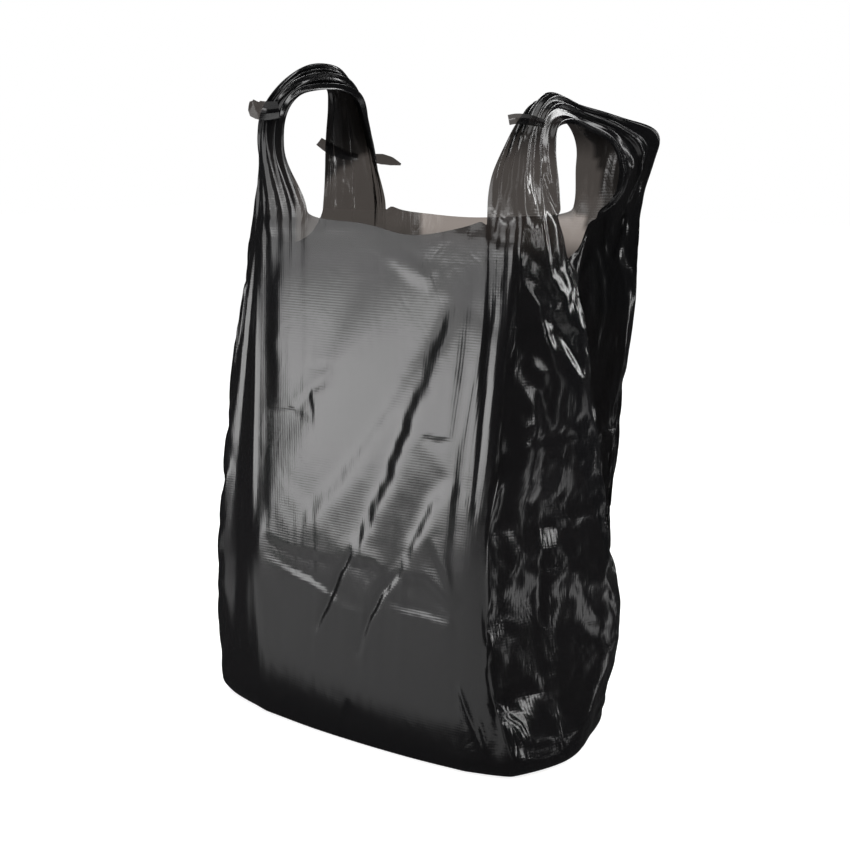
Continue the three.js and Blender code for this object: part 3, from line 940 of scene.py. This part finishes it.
def crinkleTree(material):
    # soft waves and creased facets over the film, scaled by its "crumple" mark
    tree = bpy.data.node_groups.new("crinkle", "GeometryNodeTree")
    face = tree.interface
    face.new_socket("Geometry", in_out="INPUT", socket_type="NodeSocketGeometry")
    for name in crinkle:
        face.new_socket(name, in_out="INPUT", socket_type="NodeSocketFloat")
    face.new_socket("Geometry", in_out="OUTPUT", socket_type="NodeSocketGeometry")
    nodes, links = tree.nodes, tree.links
    given = nodes.new("NodeGroupInput")
    result = nodes.new("NodeGroupOutput")

    def plug(value, socket):
        if isinstance(value, bpy.types.NodeSocket):
            links.new(value, socket)
        else:
            socket.default_value = value

    def calculate(operation, *values):
        node = nodes.new("ShaderNodeMath")
        node.operation = operation
        for socket, value in zip(node.inputs, values):
            plug(value, socket)
        return node.outputs[0]

    def vector(operation, first, second=None, scale=None):
        node = nodes.new("ShaderNodeVectorMath")
        node.operation = operation
        plug(first, node.inputs[0])
        if second is not None:
            plug(second, node.inputs[1])
        if scale is not None:
            plug(scale, node.inputs["Scale"])
        return node.outputs[0]

    squash = nodes.new("ShaderNodeCombineXYZ")
    squash.inputs["X"].default_value = 1
    squash.inputs["Y"].default_value = 1
    links.new(given.outputs["Stretch"], squash.inputs["Z"])
    place = vector("MULTIPLY", nodes.new("GeometryNodeInputPosition").outputs[0], squash.outputs[0])
    mark = nodes.new("GeometryNodeInputNamedAttribute")
    mark.data_type = "FLOAT"
    mark.inputs["Name"].default_value = "crumple"
    crumpled = mark.outputs["Attribute"]

    waves = nodes.new("ShaderNodeTexNoise")
    waves.noise_dimensions = "4D"
    links.new(place, waves.inputs["Vector"])
    links.new(given.outputs["Seed"], waves.inputs["W"])
    links.new(calculate("DIVIDE", 1 / metre, given.outputs["Wave Size"]), waves.inputs["Scale"])
    waves.inputs["Detail"].default_value = 2
    lift = calculate("MULTIPLY", calculate("SUBTRACT", waves.outputs[0], 0.5), given.outputs["Waves"])
    lift = calculate("MULTIPLY", lift, crumpled)

    facets = nodes.new("ShaderNodeTexVoronoi")
    facets.voronoi_dimensions = "4D"
    links.new(place, facets.inputs["Vector"])
    links.new(given.outputs["Seed"], facets.inputs["W"])
    links.new(calculate("DIVIDE", 1 / metre, given.outputs["Facet Size"]), facets.inputs["Scale"])
    raised = calculate("SUBTRACT", 0.5, facets.outputs["Distance"])
    raised = calculate("MULTIPLY", raised, given.outputs["Facets"])
    raised = calculate("MULTIPLY", raised, calculate("POWER", crumpled, 2.0))

    normal = nodes.new("GeometryNodeInputNormal").outputs[0]
    high = nodes.new("ShaderNodeSeparateXYZ")
    links.new(nodes.new("GeometryNodeInputPosition").outputs[0], high.inputs[0])
    # the foot stays on the floor and the bunched handles keep their shape
    above = calculate("DIVIDE", high.outputs["Z"], crinkleReach["foot"])
    below = calculate("SUBTRACT", crinkleReach["top"], high.outputs["Z"])
    below = calculate("DIVIDE", below, crinkleReach["topFade"])
    share = calculate("MINIMUM", calculate("MINIMUM", above, below), 1.0)
    share = calculate("MAXIMUM", share, 0.0)
    total = calculate("MULTIPLY", calculate("MULTIPLY", calculate("ADD", lift, raised), share), metre)
    moved = nodes.new("GeometryNodeSetPosition")
    links.new(given.outputs["Geometry"], moved.inputs["Geometry"])
    links.new(vector("SCALE", normal, scale=total), moved.inputs["Offset"])
    real = nodes.new("GeometryNodeRealizeInstances")
    links.new(moved.outputs[0], real.inputs[0])
    painted = nodes.new("GeometryNodeSetMaterial")
    painted.inputs["Material"].default_value = material
    links.new(real.outputs[0], painted.inputs["Geometry"])
    links.new(painted.outputs[0], result.inputs[0])
    return tree


def crinkleFilm(bag):
    nodes = bag.modifiers.new("crinkle", "NODES")
    nodes.node_group = crinkleTree(bag.data.materials[0])
    for item in nodes.node_group.interface.items_tree:
        if item.in_out == "INPUT" and item.name in crinkle:
            nodes[item.identifier] = crinkle[item.name]
    applyModifiers(bag)


# Welded tabs of film left on the handles: a path, half widths along it, and how far each is bent along its
# middle
tabs = {
    "leftFront": ([(-135, -84, 556), (-126, -89, 549), (-114, -90, 547), (-104, -84, 548)],
                  [2, 8, 8, 7], 5),
    "leftRearWing": ([(-124, -8, 521), (-124, 6, 515), (-122, 24, 509), (-118, 40, 506)],
                     [4, 5, 4.5, 3], 1.5),
    "leftRearBack": ([(-128, 74, 505), (-121, 80, 504), (-114, 86, 502), (-106, 90, 499)],
                     [4, 5, 4, 1], 1),
    "rightFront": ([(124, -70, 538), (132, -70, 539), (141, -66, 538), (150, -58, 535)],
                   [4, 4, 4, 3], 2),
}
tabFilm = {"facing": (0.55, -0.83, 0.0), "along": 10, "across": 7, "marks": {"crumple": 0.4, "sheer": 0.9}}


def joinTabs(bag):
    facing = np.array(tabFilm["facing"])
    count = tabFilm["along"]
    work = bmesh.new()
    work.from_mesh(bag.data)
    layers = [(work.verts.layers.float[name], value) for name, value in tabFilm["marks"].items()]
    sheet = work.loops.layers.uv["film"]
    for path, halfWidths, bend in tabs.values():
        line = smoothPath(path, count)
        widths = np.interp(np.linspace(0, 1, count), np.linspace(0, 1, len(halfWidths)), halfWidths)
        across = np.cross(facing, np.gradient(line, axis=0))
        across /= np.linalg.norm(across, axis=1, keepdims=True)
        grid = []
        for share in np.linspace(-1, 1, tabFilm["across"]):
            row = line + across * (widths * share)[:, None] + facing * bend * (abs(share) - 0.5)
            grid.append([work.verts.new(point * metre) for point in row])
        for point in sum(grid, []):
            for layer, value in layers:
                point[layer] = value
        for lower, upper in zip(grid[:-1], grid[1:]):
            for c in range(count - 1):
                side = work.faces.new((lower[c], lower[c + 1], upper[c + 1], upper[c]))
                side.smooth = True
                for loop in side.loops:
                    loop[sheet].uv = (loop.vert.co.x, loop.vert.co.z)
    work.to_mesh(bag.data)
    work.free()


placeCamera()
buildStudio()
print("studio:", len(studio), "area lights")
mesh = filmMesh()
bag = bpy.data.objects.new("film_bag", mesh)
bpy.context.collection.objects.link(bag)
bag.data.materials.append(filmMaterial())
print("film:", len(mesh.vertices), "points,", len(mesh.polygons), "faces")
relaxFilm(bag)
pressFolds(bag.data, "broad")
markFilm(bag.data)
subdivide(bag)
pressFolds(bag.data, "fine")
pressFolds(bag.data, "legs")
print("pressed:", sum(len(group) for group in folds.values()), "folds")
crinkleFilm(bag)
print("crinkled: facets up to", crinkle["Facets"], "mm deep")
joinTabs(bag)
print("joined:", len(tabs), "tabs;", len(bag.data.vertices), "points,", len(bag.data.polygons), "faces")

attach(bag, "root")
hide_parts("carrier_bag")
